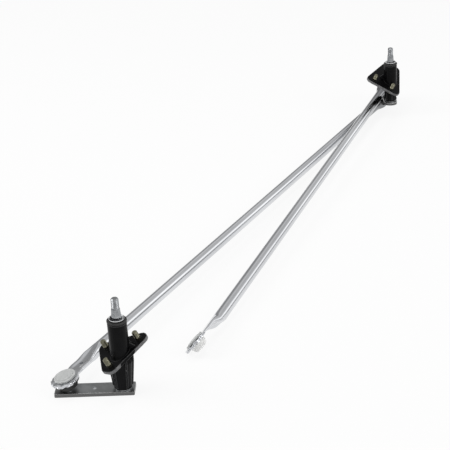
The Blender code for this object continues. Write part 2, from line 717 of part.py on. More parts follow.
def make_rod_end(name, eye, tube_point, tube_direction, drained):
    """The eye, the flat and the flare up to the round tube, all one shell."""
    rod_reach = FLAT_LENGTH + FLARE_LENGTH
    flare = [FLAT_LENGTH + FLARE_LENGTH * i / FLARE_STEPS for i in range(FLARE_STEPS + 1)]
    neck = [FLAT_START + (HOLLOW_START - FLAT_START) * i / NECK_STEPS for i in range(NECK_STEPS + 1)]
    outer = [section_points(end_section(eye, tube_point, tube_direction, distance), 0)
             for distance in neck + flare]
    end = add_part(name, loft_mesh(name, outer), "zinc")
    ring = ring_profile(EYE_RADIUS, SOCKET_NECK_RADIUS + GAP, -EYE_HALF, EYE_HALF)
    combine(end, [turned_cutter(name + "_eye", ring, eye, ROUND * 2, closed=True)], "UNION")
    beyond = [rod_reach + ROD_RADIUS]
    inner = [section_points(end_section(eye, tube_point, tube_direction, distance), TUBE_WALL)
             for distance in [HOLLOW_START] + flare[::2] + beyond]
    cuts = [add_cutter(name + "_hollow", loft_mesh(name + "_hollow", inner))]
    if drained:
        normal = eye.to_3x3() @ UP
        place = place_at(eye.translation + tube_direction * DRAIN_HOLE_PLACE, normal, tube_direction)
        drain = rod_profile(DRAIN_HOLE_RADIUS, -EYE_RADIUS / 2, EYE_RADIUS / 2)
        cuts.append(turned_cutter(name + "_drain", drain, place, SMALL_ROUND))
    combine(end, cuts, "DIFFERENCE")
    round_off(end)


def make_rod(name, ends):
    """Each end gives its name, its eye, the tube's rise above the flat and whether it is drained.

    The rise is measured towards the cap.
    """
    tube_points = [eye.translation + (eye.to_3x3() @ UP) * rise for _, eye, rise, _ in ends]
    direction = (tube_points[1] - tube_points[0]).normalized()
    length = (tube_points[1] - tube_points[0]).length
    for (end_name, eye, _, drained), point, run in zip(ends, tube_points, (direction, -direction)):
        make_rod_end(f"{name}_{end_name}", eye, point, run, drained)
    start = FLAT_LENGTH + FLARE_LENGTH + GAP
    wall = ring_profile(ROD_RADIUS, ROD_RADIUS - TUBE_WALL, start, length - start)
    place = place_at(tube_points[0], direction, UP)
    round_off(turned_part(name, wall, "zinc", place, closed=True))


def make_joint(name, place, boot):
    make_socket(name + "_socket", place)
    make_cap(name + "_cap", place)
    if boot:
        make_boot(name + "_boot", place)


# The two pivot units
for side, spindle, ball, base in (("near", NEAR_SPINDLE, NEAR_BALL, 0),
                                  ("far", FAR_SPINDLE, FAR_BALL, FAR_CRANK_BASE)):
    crank_top = base + CRANK_THICKNESS
    make_crank(side, spindle, ball, base)
    make_ball_stud(side + "_ball_stud", ball, base, both_ends=side == "far")
    make_spindle(side, spindle, base, UNITS[side]["rim"])
    make_thrust_washer(side, spindle, crank_top)
    make_housing(side, spindle, crank_top)

# The link rod joins the two cranks: on top of the near one and under the far one
link_run = (FAR_BALL - NEAR_BALL).normalized()
link_side = UP.cross(link_run)
nod = Matrix.Rotation(-LINK_EYE_PITCH, 3, link_side) @ Matrix.Rotation(-LINK_EYE_ROLL, 3, link_run)
near_link_eye = eye_place(at_height(NEAR_BALL, NEAR_CRANK_TOP + BALL_LIFT), nod @ UP, link_run)
far_link_eye = eye_place(at_height(FAR_BALL, FAR_CRANK_BASE - BALL_LIFT), -UP, -link_run)
make_rod("link_rod", (("near_end", near_link_eye, NEAR_TUBE_RISE, True),
                      ("far_end", far_link_eye, -TUBE_OFFSET, False)))
make_joint("near_link", near_link_eye, boot=True)
make_joint("far_link", far_link_eye, boot=True)

# The motor rod sits on top of the far crank, and its free end lies on the table
motor_run = (FREE_END - FAR_BALL).normalized()
motor_side = motor_run.cross(UP)
free_cap_side = (UP * math.cos(FREE_EYE_TURN) + motor_side * math.sin(FREE_EYE_TURN)).normalized()
free_sink = SOCKET_BELOW_BALL * free_cap_side.z + SOCKET_RADIUS * math.hypot(free_cap_side.x,
                                                                            free_cap_side.y)
far_motor_eye = eye_place(at_height(FAR_BALL, FAR_CRANK_TOP + BALL_LIFT), UP, motor_run)
free_motor_eye = eye_place(at_height(FREE_END, free_sink), free_cap_side, -motor_run)
make_rod("motor_rod", (("far_end", far_motor_eye, -TUBE_OFFSET, False),
                       ("free_end", free_motor_eye, -TUBE_OFFSET, True)))
make_joint("far_motor", far_motor_eye, boot=True)
make_joint("free_motor", free_motor_eye, boot=False)
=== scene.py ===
# %% [markdown]
# # A windscreen wiper linkage
# Under a car's windscreen two pivot units carry the wiper arms. A long tube, the link rod, joins
# their cranks, and a second tube, the motor rod, brings the motor's swing to the far crank.
# The solids already have their true sizes. This lesson gives each of them the finish and the fine
# detail of the real piece: rolled threads, knurls, cast edges, plated tubes and moulded caps.

import json
import math

import bmesh
import bpy
from mathutils import Matrix, Vector


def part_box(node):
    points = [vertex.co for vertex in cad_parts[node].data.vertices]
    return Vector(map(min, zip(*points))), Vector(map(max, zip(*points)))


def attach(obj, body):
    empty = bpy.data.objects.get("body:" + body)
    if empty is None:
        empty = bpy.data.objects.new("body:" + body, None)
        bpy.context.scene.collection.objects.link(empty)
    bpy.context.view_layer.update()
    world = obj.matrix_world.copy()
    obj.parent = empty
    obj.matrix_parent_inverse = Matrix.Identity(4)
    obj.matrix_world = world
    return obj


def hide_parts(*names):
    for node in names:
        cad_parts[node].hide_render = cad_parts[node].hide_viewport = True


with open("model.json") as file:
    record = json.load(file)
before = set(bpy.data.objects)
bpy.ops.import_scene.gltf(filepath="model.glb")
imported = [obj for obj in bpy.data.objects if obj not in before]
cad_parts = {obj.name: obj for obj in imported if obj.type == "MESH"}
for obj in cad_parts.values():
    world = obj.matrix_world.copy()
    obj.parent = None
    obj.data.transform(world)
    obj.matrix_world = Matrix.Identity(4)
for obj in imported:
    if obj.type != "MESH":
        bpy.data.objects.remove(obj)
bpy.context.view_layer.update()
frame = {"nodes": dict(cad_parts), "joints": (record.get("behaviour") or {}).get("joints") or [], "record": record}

# %% [markdown]
# ## Where everything is
# The joints tell where the spindles and the ball studs stand in plan. Heights come from the solids'
# own boxes, so nothing here has to be fitted by eye.

# %% Read the joints' places
MM = 0.001
GAP = 0.3 * MM                    # between neighbouring pieces
WELD_DISTANCE = 0.001 * MM
UP = Vector((0, 0, 1))
joint_place = {joint["name"]: Vector(joint["pos_m"]) for joint in frame["joints"]}
near_spindle = joint_place["near_spindle_turn"]
far_spindle = joint_place["far_spindle_turn"]
near_stud = joint_place["near_ball_turn"]
far_stud = joint_place["far_ball_turn"]
crank_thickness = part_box("near_crank")[1][2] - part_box("near_crank")[0][2]
pivot = {"near": near_spindle, "far": far_spindle}
print("spindles are", round((far_spindle - near_spindle).length / MM), "mm apart")

# %% [markdown]
# ## Camera
# The photograph was taken from the near end, about 0.7 m above the table, with a long lens. The
# camera could be aimed with a constraint, but plain heading, pitch and roll keep the values readable.

# %% Set the camera
CAMERA_PLACE = Vector((-929.4, -590.2, 682.4)) * MM
CAMERA_HEADING = math.radians(-63.48)
CAMERA_PITCH = math.radians(24.71)
CAMERA_ROLL = math.radians(-3.448)
LENS_PIXELS = 1255
FRAME_PIXELS = 450
SENSOR_WIDTH = 36
CLIP_START = 0.05

camera_data = bpy.data.cameras.new("camera")
camera_data.sensor_width = SENSOR_WIDTH
camera_data.lens = SENSOR_WIDTH * LENS_PIXELS / FRAME_PIXELS
camera_data.clip_start = CLIP_START
camera = bpy.data.objects.new("camera", camera_data)
bpy.context.scene.collection.objects.link(camera)
camera.matrix_world = (Matrix.Translation(CAMERA_PLACE)
                       @ Matrix.Rotation(CAMERA_HEADING, 4, "Z")
                       @ Matrix.Rotation(math.pi / 2 - CAMERA_PITCH, 4, "X")
                       @ Matrix.Rotation(CAMERA_ROLL, 4, "Z"))
bpy.context.scene.camera = camera
bpy.context.scene.view_settings.view_transform = "Standard"
print("lens", round(camera_data.lens, 1), "mm")

# %% [markdown]
# ## Studio
# The photograph has a pure white ground. Making the lamps so bright that the floor clips would
# bleach the object too. Instead the floor looks white to the camera and to polished metal, and still
# takes a faint shadow. The world is white to the camera and a plain grey to everything else, but a
# plated tube needs something to mirror. So polished surfaces see a room of long strips that run the
# same way as the rods: dark at floor level, a bright strip above it, and a duller wall behind.

# %% Make the floor and the world
FLOOR_HALF = 4.0
FLOOR_DROP = 0.2 * MM
FLOOR_SHADE = 0.12
WORLD_GREY = 0.42
STRIP_STRENGTH = 1.6
STRIPS = ((0, 0.14), (6, 0.16), (16, 0.5), (25, 0.9), (42, 0.92), (56, 0.42), (95, 0.38),
          (115, 0.5), (140, 0.24), (180, 0.18))


def white_for_eyes(tree):
    """1 for camera, glossy and transmission rays, 0 for the rest."""
    rays = tree.nodes.new("ShaderNodeLightPath")
    total = rays.outputs["Is Camera Ray"]
    for kind in ("Is Glossy Ray", "Is Transmission Ray"):
        either = tree.nodes.new("ShaderNodeMath")
        either.operation = "MAXIMUM"
        tree.links.new(total, either.inputs[0])
        tree.links.new(rays.outputs[kind], either.inputs[1])
        total = either.outputs[0]
    return total


floor_mesh = bpy.data.meshes.new("floor")
floor_shape = bmesh.new()
bmesh.ops.create_grid(floor_shape, size=FLOOR_HALF)
floor_shape.to_mesh(floor_mesh)
floor_shape.free()
floor = bpy.data.objects.new("floor", floor_mesh)
floor.location = (0, 0, -FLOOR_DROP)
bpy.context.scene.collection.objects.link(floor)

paper = bpy.data.materials.new("white_paper")
paper.use_nodes = True
tree = paper.node_tree
tree.nodes.clear()
lit = tree.nodes.new("ShaderNodeBsdfDiffuse")
lit.inputs["Color"].default_value = (0.9, 0.9, 0.9, 1)
glow = tree.nodes.new("ShaderNodeEmission")
glow.inputs["Strength"].default_value = 1
look = tree.nodes.new("ShaderNodeMixShader")
look.inputs["Fac"].default_value = 1 - FLOOR_SHADE
seen = tree.nodes.new("ShaderNodeMixShader")
output = tree.nodes.new("ShaderNodeOutputMaterial")
tree.links.new(lit.outputs["BSDF"], look.inputs[1])
tree.links.new(glow.outputs["Emission"], look.inputs[2])
tree.links.new(white_for_eyes(tree), seen.inputs["Fac"])
tree.links.new(lit.outputs["BSDF"], seen.inputs[1])
tree.links.new(look.outputs["Shader"], seen.inputs[2])
tree.links.new(seen.outputs["Shader"], output.inputs["Surface"])
floor_mesh.materials.append(paper)

world = bpy.data.worlds.new("studio")
world.use_nodes = True
bpy.context.scene.world = world
tree = world.node_tree
tree.nodes.clear()
room = tree.nodes.new("ShaderNodeBackground")
room.inputs["Color"].default_value = (WORLD_GREY, WORLD_GREY, WORLD_GREY, 1)
white = tree.nodes.new("ShaderNodeBackground")
white.inputs["Color"].default_value = (1, 1, 1, 1)
mirrored = tree.nodes.new("ShaderNodeBackground")
mirrored.inputs["Strength"].default_value = STRIP_STRENGTH
direction = tree.nodes.new("ShaderNodeTexCoord")
parts = tree.nodes.new("ShaderNodeSeparateXYZ")
flip = tree.nodes.new("ShaderNodeMath")
flip.operation = "MULTIPLY"
flip.inputs[1].default_value = -1
turn = tree.nodes.new("ShaderNodeMath")
turn.operation = "ARCTAN2"
share = tree.nodes.new("ShaderNodeMapRange")
share.inputs["From Max"].default_value = math.pi
ramp = tree.nodes.new("ShaderNodeValToRGB")
stops = ramp.color_ramp.elements
while len(stops) < len(STRIPS):
    stops.new(0.5)
for stop, (degrees, grey) in zip(stops, STRIPS):
    stop.position = degrees / 180
    stop.color = (grey, grey, grey, 1)
tree.links.new(direction.outputs["Generated"], parts.inputs["Vector"])
tree.links.new(parts.outputs["Y"], flip.inputs[0])
tree.links.new(parts.outputs["Z"], turn.inputs[0])
tree.links.new(flip.outputs[0], turn.inputs[1])
tree.links.new(turn.outputs[0], share.inputs["Value"])
tree.links.new(share.outputs["Result"], ramp.inputs["Fac"])
tree.links.new(ramp.outputs["Color"], mirrored.inputs["Color"])

rays = tree.nodes.new("ShaderNodeLightPath")
output = tree.nodes.new("ShaderNodeOutputWorld")
seen = room.outputs["Background"]
for kind, backdrop in (("Is Glossy Ray", mirrored), ("Is Camera Ray", white)):
    choice = tree.nodes.new("ShaderNodeMixShader")
    tree.links.new(rays.outputs[kind], choice.inputs["Fac"])
    tree.links.new(seen, choice.inputs[1])
    tree.links.new(backdrop.outputs["Background"], choice.inputs[2])
    seen = choice.outputs["Shader"]
tree.links.new(seen, output.inputs["Surface"])
print("floor and world are set")

# %% [markdown]
# ## Lamps
# Long soft boxes suit long tubes: each one draws a single clean streak along a rod. One large box
# stands to the left of the camera, a weaker one to the right, and a strip above gives the tops of
# the castings their sheen.


# %% Hang the lamps
def hang_soft_box(name, place, target, width, height, watts):
    lamp = bpy.data.lights.new(name, "AREA")
    lamp.shape = "RECTANGLE"
    lamp.size = width
    lamp.size_y = height
    lamp.energy = watts
    box = bpy.data.objects.new(name, lamp)
    bpy.context.scene.collection.objects.link(box)
    box.location = place
    box.rotation_euler = (Vector(target) - Vector(place)).to_track_quat("-Z", "Y").to_euler()
    return box


hang_soft_box("key", (-0.6, 1.9, 1.7), (0.4, 0, 0), 1.6, 1.2, 26)
hang_soft_box("fill", (0.2, -2.0, 1.2), (0.45, 0, 0), 1.6, 1.0, 13)
hang_soft_box("top", (0.5, 0.1, 2.3), (0.45, 0, 0), 2.0, 0.5, 14)
print("three soft boxes")

# %% [markdown]
# ## Node helpers
# Every finish below is a small tree of shader nodes. A few helpers keep the trees short: they make a
# node, start a finish, mix two colours, or make blotchy noise in the piece's own coordinates.


# %% Define the node helpers
def node_of(material, kind, **settings):
    node = material.node_tree.nodes.new(kind)
    for key, value in settings.items():
        if hasattr(node, key):
            setattr(node, key, value)
        else:
            node.inputs[key.replace("_", " ")].default_value = value
    return node


def start_finish(name, colour, roughness, metallic):
    material = bpy.data.materials.new(name)
    material.use_nodes = True
    shader = material.node_tree.nodes["Principled BSDF"]
    shader.inputs["Base Color"].default_value = (*colour, 1)
    shader.inputs["Roughness"].default_value = roughness
    shader.inputs["Metallic"].default_value = metallic
    material.diffuse_color = (*colour, 1)
    return material, shader


def join(material, out_socket, in_socket):
    material.node_tree.links.new(out_socket, in_socket)


def noise_of(material, scale, stretch=(1, 1, 1), detail=4):
    """Noise in the piece's own coordinates; a small stretch value draws it out along that axis."""
    place = node_of(material, "ShaderNodeTexCoord")
    mapping = node_of(material, "ShaderNodeMapping", Scale=stretch)
    join(material, place.outputs["Object"], mapping.inputs["Vector"])
    noise = node_of(material, "ShaderNodeTexNoise", Scale=scale, Detail=detail)
    join(material, mapping.outputs["Vector"], noise.inputs["Vector"])
    return noise.outputs["Fac"]


def spread(material, value, low, high, start=0.3, end=0.7):
    """Maps a value between start and end onto the span from low to high."""
    ramp = node_of(material, "ShaderNodeMapRange", From_Min=start, From_Max=end, To_Min=low, To_Max=high)
    join(material, value, ramp.inputs["Value"])
    return ramp.outputs["Result"]


MIX_SHARE, MIX_FIRST, MIX_SECOND, MIX_RESULT = 0, 6, 7, 2


def mix_colours(material, share, first, second):
    """Each colour is three numbers or another node's output."""
    mix = node_of(material, "ShaderNodeMix", data_type="RGBA")
    join(material, share, mix.inputs[MIX_SHARE])
    for number, colour in ((MIX_FIRST, first), (MIX_SECOND, second)):
        if isinstance(colour, tuple):
            mix.inputs[number].default_value = (*colour, 1)
        else:
            join(material, colour, mix.inputs[number])
    return mix.outputs[MIX_RESULT]


def cloudy(material, scale, dark, light, stretch=(1, 1, 1), detail=4):
    """A colour that drifts between two tones."""
    clouds = noise_of(material, scale, stretch, detail)
    return mix_colours(material, spread(material, clouds, 0, 1), dark, light)


def add_bump(material, shader, height, distance, strength=1.0):
    bump = node_of(material, "ShaderNodeBump", Distance=distance, Strength=strength)
    join(material, height, bump.inputs["Height"])
    join(material, bump.outputs["Normal"], shader.inputs["Normal"])


print("node helpers ready")

# %% [markdown]
# ## Plated tube
# The rods are drawn steel tubes with bright zinc. The drawing leaves faint lines along the tube, and
# the plating has soft clouds. Noise that is stretched along the tube gives both. Beside the black far
# unit the tubes mirror its casting, so each one's colour is darkened along its length towards that
# end: a painted reflection.


# %% Make the tube's finish
def make_tube_zinc(name, reflection_dark_from, reflection_dark_full):
    """Darkens the colour along the tube, from one place on it to the other: a painted reflection of the black far
    unit.
    """
    material, shader = start_finish(name, (0.62, 0.63, 0.65), 0.12, 1.0)
    bright = cloudy(material, 60, (0.55, 0.56, 0.58), (0.69, 0.7, 0.72), (0.12, 1, 1))
    place = node_of(material, "ShaderNodeTexCoord")
    parts = node_of(material, "ShaderNodeSeparateXYZ")
    join(material, place.outputs["Object"], parts.inputs["Vector"])
    # painted reflection: the colour darkens towards the far unit, which the tube mirrors
    along = spread(material, parts.outputs["X"], 0, 1, reflection_dark_from, reflection_dark_full)
    colour = mix_colours(material, along, bright, (0.2, 0.205, 0.215))
    join(material, colour, shader.inputs["Base Color"])
    lines = noise_of(material, 1800, (0.01, 1, 1), 2)
    join(material, spread(material, lines, 0.09, 0.19), shader.inputs["Roughness"])
    add_bump(material, shader, lines, 0.004 * MM)
    return material


LINK_ZINC = make_tube_zinc("link_zinc", 0.72, 0.86)
MOTOR_ZINC = make_tube_zinc("motor_zinc", 0.19, 0.05)
print("made", LINK_ZINC.name, "and", MOTOR_ZINC.name)

# %% [markdown]
# ## Painted casting
# The pivot housings are zinc die castings with satin black paint. Paint over a casting is never
# quite smooth, so a fine bump and a slow change of roughness break up the reflections. The edges get
# a painted highlight: lighter paint where the Geometry node's pointiness finds them. The flange's narrow
# side gets a grey paint of its own, a painted reflection of the white floor that it faces.


# %% Make the casting's finish
def make_black_paint():
    material, shader = start_finish("black_paint", (0.005, 0.005, 0.0055), 0.26, 0.0)
    shader.inputs["Specular IOR Level"].default_value = 0.08
    paint = cloudy(material, 90, (0.002, 0.002, 0.0023), (0.005, 0.005, 0.0055))
    shape = node_of(material, "ShaderNodeNewGeometry")
    # painted highlight: the convex edges are mixed towards a lighter grey
    painted_sheen = spread(material, shape.outputs["Pointiness"], 0, 1, 0.51, 0.57)
    join(material, mix_colours(material, painted_sheen, paint, (0.11, 0.11, 0.113)), shader.inputs["Base Color"])
    join(material, spread(material, noise_of(material, 150), 0.22, 0.36), shader.inputs["Roughness"])
    add_bump(material, shader, noise_of(material, 900), 0.03 * MM)
    return material


# painted reflection: a grey that stands in for the floor mirrored in the flange's narrow side
def make_painted_sheen_paint():
    material, shader = start_finish("painted_sheen_paint", (0.15, 0.15, 0.15), 0.4, 0.0)
    colour = cloudy(material, 160, (0.09, 0.09, 0.092), (0.2, 0.2, 0.202), detail=6)
    join(material, colour, shader.inputs["Base Color"])
    add_bump(material, shader, noise_of(material, 900), 0.03 * MM)
    return material


BLACK_PAINT = make_black_paint()
PAINTED_SHEEN_PAINT = make_painted_sheen_paint()
print("made", BLACK_PAINT.name, "and", PAINTED_SHEEN_PAINT.name)

# %% [markdown]
# ## Crank steel
# The cranks are sheared from dark phosphated strip. Their finish paints light and shade: a painted
# highlight on the very edges, and painted shade on the sheared sides between them. It looks at which
# way a face points: a face that leans, as the small bevels do, gets the bright colour, and an upright
# one the dark.


# %% Make the crank's finish
UPRIGHT_BELOW = 0.24              # of a normal's Z: below this a face counts as upright
LEVEL_ABOVE = 0.96                # and above this as level


def make_crank_steel():
    material, shader = start_finish("crank_steel", (0.22, 0.225, 0.225), 0.36, 0.85)
    colour = cloudy(material, 70, (0.17, 0.175, 0.175), (0.27, 0.275, 0.275), detail=6)
    facing = node_of(material, "ShaderNodeNewGeometry")
    split = node_of(material, "ShaderNodeSeparateXYZ")
    join(material, facing.outputs["True Normal"], split.inputs["Vector"])
    lean = node_of(material, "ShaderNodeMath", operation="ABSOLUTE")
    join(material, split.outputs["Z"], lean.inputs[0])
    painted_highlight_mask = node_of(material, "ShaderNodeMath", operation="COMPARE")
    join(material, lean.outputs[0], painted_highlight_mask.inputs[0])
    painted_highlight_mask.inputs[1].default_value = (UPRIGHT_BELOW + LEVEL_ABOVE) / 2
    painted_highlight_mask.inputs[2].default_value = (LEVEL_ABOVE - UPRIGHT_BELOW) / 2
    painted_shade_mask = node_of(material, "ShaderNodeMath", operation="LESS_THAN")
    join(material, lean.outputs[0], painted_shade_mask.inputs[0])
    painted_shade_mask.inputs[1].default_value = UPRIGHT_BELOW
    # painted highlight on leaning faces, painted shade on upright ones
    for place, tone in ((painted_highlight_mask, (0.95, 0.95, 0.95)), (painted_shade_mask, (0.13, 0.13, 0.13))):
        colour = mix_colours(material, place.outputs[0], colour, tone)
    join(material, colour, shader.inputs["Base Color"])
    join(material, spread(material, noise_of(material, 400), 0.28, 0.44), shader.inputs["Roughness"])
    add_bump(material, shader, noise_of(material, 1200), 0.02 * MM)
    return material


CRANK_STEEL = make_crank_steel()
print("made", CRANK_STEEL.name)

# %% [markdown]
# ## Small metal parts
# The washers have bright zinc, the spindles a duller one, the clips black, the fixing studs yellow
# zinc and the bushes sintered bronze. The clips' black is painted shade: it stands in for the shade in
# the gap between the washers. They differ only in colour and in how rough they are, so one function
# makes them.


# %% Make the small parts' finishes
def make_plated(name, dark, light, rough_low, rough_high):
    material, shader = start_finish(name, light, rough_low, 1.0)
    join(material, cloudy(material, 220, dark, light, detail=5), shader.inputs["Base Color"])
    grain = noise_of(material, 1500, detail=3)
    join(material, spread(material, grain, rough_low, rough_high), shader.inputs["Roughness"])
    add_bump(material, shader, grain, 0.01 * MM)
    return material


BRIGHT_ZINC = make_plated("bright_zinc", (0.6, 0.61, 0.62), (0.78, 0.79, 0.8), 0.12, 0.22)
SPINDLE_STEEL = make_plated("spindle_steel", (0.24, 0.25, 0.26), (0.4, 0.41, 0.42), 0.18, 0.3)
# the clips' black is painted shade for the gap between the washers
SHADE_BLACK_CLIP = make_plated("shade_black_clip", (0.03, 0.03, 0.032), (0.06, 0.06, 0.063), 0.25, 0.4)
MACHINED_STEEL = make_plated("machined_steel", (0.36, 0.37, 0.38), (0.5, 0.51, 0.52), 0.22, 0.36)
YELLOW_ZINC = make_plated("yellow_zinc", (0.15, 0.145, 0.105), (0.27, 0.26, 0.19), 0.22, 0.38)
SINTERED_BRONZE = make_plated("sintered_bronze", (0.34, 0.23, 0.1), (0.46, 0.33, 0.17), 0.4, 0.6)
print("made the six small finishes")

# %% [markdown]
# ## Plastic and rubber
# The caps are a milky light grey, and the sockets off-white. A little subsurface scattering lets
# light into them, which is what tells moulded plastic from paint. The boots and seals are rubber.


# %% Make the plastic and rubber finishes
def make_moulded(name, colour, roughness, milky, grain_depth):
    material, shader = start_finish(name, colour, roughness, 0.0)
    darker = tuple(part * 0.9 for part in colour)
    join(material, cloudy(material, 130, darker, colour, detail=3), shader.inputs["Base Color"])
    shader.inputs["Subsurface Weight"].default_value = milky
    shader.inputs["Subsurface Scale"].default_value = 1.5 * MM
    shader.inputs["Subsurface Radius"].default_value = (1, 1, 1)
    join(material, spread(material, noise_of(material, 500), roughness * 0.85, roughness * 1.15),
         shader.inputs["Roughness"])
    add_bump(material, shader, noise_of(material, 1100), grain_depth)
    return material


CAP_PLASTIC = make_moulded("cap_plastic", (0.56, 0.57, 0.565), 0.3, 0.15, 0.005 * MM)
SOCKET_PLASTIC = make_moulded("socket_plastic", (0.93, 0.93, 0.92), 0.3, 0.2, 0.002 * MM)
BLACK_RUBBER = make_moulded("black_rubber", (0.014, 0.014, 0.014), 0.6, 0.0, 0.03 * MM)
print("made plastic and rubber")

# %% [markdown]
# ## Skins
# A piece that replaces a solid is a skin over rows of points. Turned pieces come from one outline
# that is spun about its axis; everything else comes from rings that are joined one to the next.


# %% Define the skin helpers
TURN_STEPS = 72
SHARP = math.radians(40)


def place_at(origin, axis=UP, along=Vector((1, 0, 0))):
    z = axis.normalized()
    x = (along - z * along.dot(z)).normalized()
    turn = Matrix((x, z.cross(x), z)).transposed().to_4x4()
    return Matrix.Translation(origin) @ turn


def add_piece(name, shape, place, finish, body, solids):
    """Turns a bmesh into a piece that stands for these solids and rides on their body."""
    bmesh.ops.recalc_face_normals(shape, faces=shape.faces)
    mesh = bpy.data.meshes.new(name)
    shape.to_mesh(mesh)
    shape.free()
    mesh.materials.append(finish)
    mesh.shade_smooth()
    mesh.set_sharp_from_angle(angle=SHARP)
    piece = bpy.data.objects.new(name, mesh)
    bpy.context.scene.collection.objects.link(piece)
    piece.matrix_world = place
    bpy.context.view_layer.update()
    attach(piece, body)
    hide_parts(*solids)
    return piece


def soft_corners(outline, radius, closed=False):
    """Replaces each corner of an outline by a small arc, so that edges catch the light."""
    points = [Vector(point) for point in outline]
    count = len(points)
    soft = []
    for i, corner in enumerate(points):
        if not closed and i in (0, count - 1):
            soft.append(corner)
            continue
        before, after = points[i - 1] - corner, points[(i + 1) % count] - corner
        reach = min(radius, before.length * 0.45, after.length * 0.45)
        first, last = corner + before.normalized() * reach, corner + after.normalized() * reach
        soft += [first, first.lerp(corner, 0.59).lerp(last.lerp(corner, 0.59), 0.5), last]
    return soft


def spin(outline, closed=False, steps=TURN_STEPS):
    shape = bmesh.new()
    points = [shape.verts.new((radius, 0, height)) for radius, height in outline]
    pairs = list(zip(points, points[1:])) + ([(points[-1], points[0])] if closed else [])
    edges = [shape.edges.new(pair) for pair in pairs]
    bmesh.ops.spin(shape, geom=points + edges, axis=(0, 0, 1), angle=2 * math.pi, steps=steps)
    bmesh.ops.remove_doubles(shape, verts=shape.verts, dist=WELD_DISTANCE)
    return shape


def skin_rings(rings):
    """Quads from ring to ring, and a face over each end."""
    shape = bmesh.new()
    rows = [[shape.verts.new(point) for point in ring] for ring in rings]
    count = len(rows[0])
    for lower, upper in zip(rows, rows[1:]):
        for i in range(count):
            j = (i + 1) % count
            shape.faces.new((lower[i], lower[j], upper[j], upper[i]))
    shape.faces.new(reversed(rows[0]))
    shape.faces.new(rows[-1])
    return shape


print("skin helpers ready")

# %% [markdown]
# ## Ball joints
# Each joint is a ball on a stud, a moulded socket that snaps over it through the rod's eye, a round
# cap over the socket, and a rubber boot. An eye's own frame has its origin in the middle of the
# flattened tube and its Z towards the cap. Three of the eyes lie nearly level; the motor rod's free
# eye has rolled over onto its socket.

# %% Place the eyes
BALL_RADIUS = 6.5 * MM
BALL_BELOW_EYE = 4 * MM
SOCKET_BELOW_BALL = 5 * MM
SOCKET_RADIUS = 9.5 * MM
LINK_EYE_PITCH = math.radians(9)
LINK_EYE_ROLL = math.radians(11)
FREE_EYE_TURN = math.radians(51.4)
MOTOR_ROD_LENGTH = 821 * MM
MOTOR_ROD_HEADING = math.radians(184.4)


def at_height(point, height):
    return Vector((point.x, point.y, height))


near_ball = at_height(near_stud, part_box("near_ball_stud")[1][2] - BALL_RADIUS)
far_low_ball = at_height(far_stud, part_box("far_ball_stud")[0][2] + BALL_RADIUS)
far_high_ball = at_height(far_stud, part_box("far_ball_stud")[1][2] - BALL_RADIUS)
link_run = (at_height(far_stud, 0) - at_height(near_stud, 0)).normalized()
motor_run = Vector((math.cos(MOTOR_ROD_HEADING), math.sin(MOTOR_ROD_HEADING), 0))
free_cap_side = (UP * math.cos(FREE_EYE_TURN) + motor_run.cross(UP) * math.sin(FREE_EYE_TURN)).normalized()
free_height = (SOCKET_BELOW_BALL * free_cap_side.z
               + SOCKET_RADIUS * math.hypot(free_cap_side.x, free_cap_side.y))
free_ball = at_height(far_stud + motor_run * MOTOR_ROD_LENGTH, free_height)
link_nod = (Matrix.Rotation(-LINK_EYE_PITCH, 3, UP.cross(link_run))
            @ Matrix.Rotation(-LINK_EYE_ROLL, 3, link_run)) @ UP


def eye_place(ball, cap_side, run):
    return place_at(ball + cap_side.normalized() * BALL_BELOW_EYE, cap_side, run)


EYES = {
    "near_link": eye_place(near_ball, link_nod, link_run),
    "far_link": eye_place(far_low_ball, -UP, -link_run),
    "far_motor": eye_place(far_high_ball, UP, motor_run),
    "free_motor": eye_place(free_ball, free_cap_side, -motor_run),
}
for name, place in EYES.items():
    print(name, "eye at", [round(part / MM, 1) for part in place.translation])

# %% [markdown]
# ## Rods
# A rod is a tube whose ends were pressed flat and pierced. In Blender it could be a bevelled curve
# with edited ends, but the ends change shape too much for that. Here each ring along the rod is
# drawn where it belongs: a wide flat one near the eye, a round one on the tube, and blends between.
# The eye is a disc with a hole whose rim shows the tube's two walls, crimped together.

# %% Define the rod's rings
ROD_RADIUS = 6.85 * MM
EYE_HALF = 1.5 * MM
EYE_RADIUS = 14 * MM
EYE_HOLE_RADIUS = 8 * MM
FLAT_HALF_WIDTH = 9.4 * MM
FLAT_LENGTH = 34 * MM
SHORT_FLAT = 22 * MM
FLARE_LENGTH = 30 * MM
TUBE_OFFSET = ROD_RADIUS - EYE_HALF
FLAT_HALF_HEIGHT = EYE_HALF * 0.9
NEAR_TUBE_RISE = 1.3 * MM
BEAD_HALF_HEIGHT = 2.1 * MM
BEAD_START = 14 * MM
BEAD_RUNOUT = 10 * MM
CHANNEL_HALF_WIDTH = 1.5 * MM
CHANNEL_WALL = 6 * MM
RING_POINTS = 96
BEAD_STEPS = 6
FLARE_STEPS = 24
TUBE_STEPS = 24


def ease(share):
    share = min(max(share, 0), 1)
    return share * share * (3 - 2 * share)


def blend_of(low, high, share):
    return low + (high - low) * share


def ring_at(centre, across, up, half_width, half_height, squareness, floor=None):
    """A rounded ring; floor is the height that the middle of its upper side is pressed down to."""
    ring = []
    for i in range(RING_POINTS):
        angle = 2 * math.pi * (i + 0.5) / RING_POINTS
        x = math.copysign(abs(math.cos(angle)) ** (2 / squareness), math.cos(angle)) * half_width
        y = math.copysign(abs(math.sin(angle)) ** (2 / squareness), math.sin(angle)) * half_height
        if floor is not None and y > floor:
            y = blend_of(floor, y, ease((abs(x) - CHANNEL_HALF_WIDTH) / CHANNEL_WALL))
        ring.append(centre + across * x + up * y)
    return ring


print("rod rings ready")

